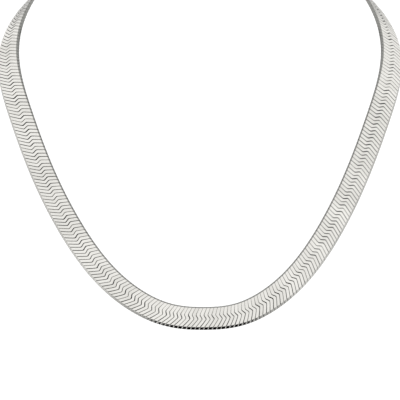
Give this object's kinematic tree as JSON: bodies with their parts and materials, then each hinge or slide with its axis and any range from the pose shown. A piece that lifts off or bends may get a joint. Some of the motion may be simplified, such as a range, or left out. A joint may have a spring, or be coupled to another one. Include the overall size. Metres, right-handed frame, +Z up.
{
  "type": "herringbone chain necklace",
  "caption": "Flat herringbone chain necklace: a wide band of slanted metal strips in three rows, with soldered end caps, rings and a plain clasp.",
  "frame": {"origin": "middle of the clasp's neck side, at the nape, where the necklace hangs on the neck", "axes": "+Z up; the front of the necklace faces -Y; X runs across it, from left to right as seen from the front"},
  "size_m": [0.1622, 0.1096, 0.1468],
  "materials": {
    "silver_strips": "bright white silver, softly polished, with fine dark grooves between the strips",
    "silver_fittings": "polished silver"
  },
  "bodies": {
    "root": {"chain": "silver_strips", "end_cap_left": "silver_fittings", "end_cap_right": "silver_fittings", "clasp": "silver_fittings"}
  },
  "joints": []
}
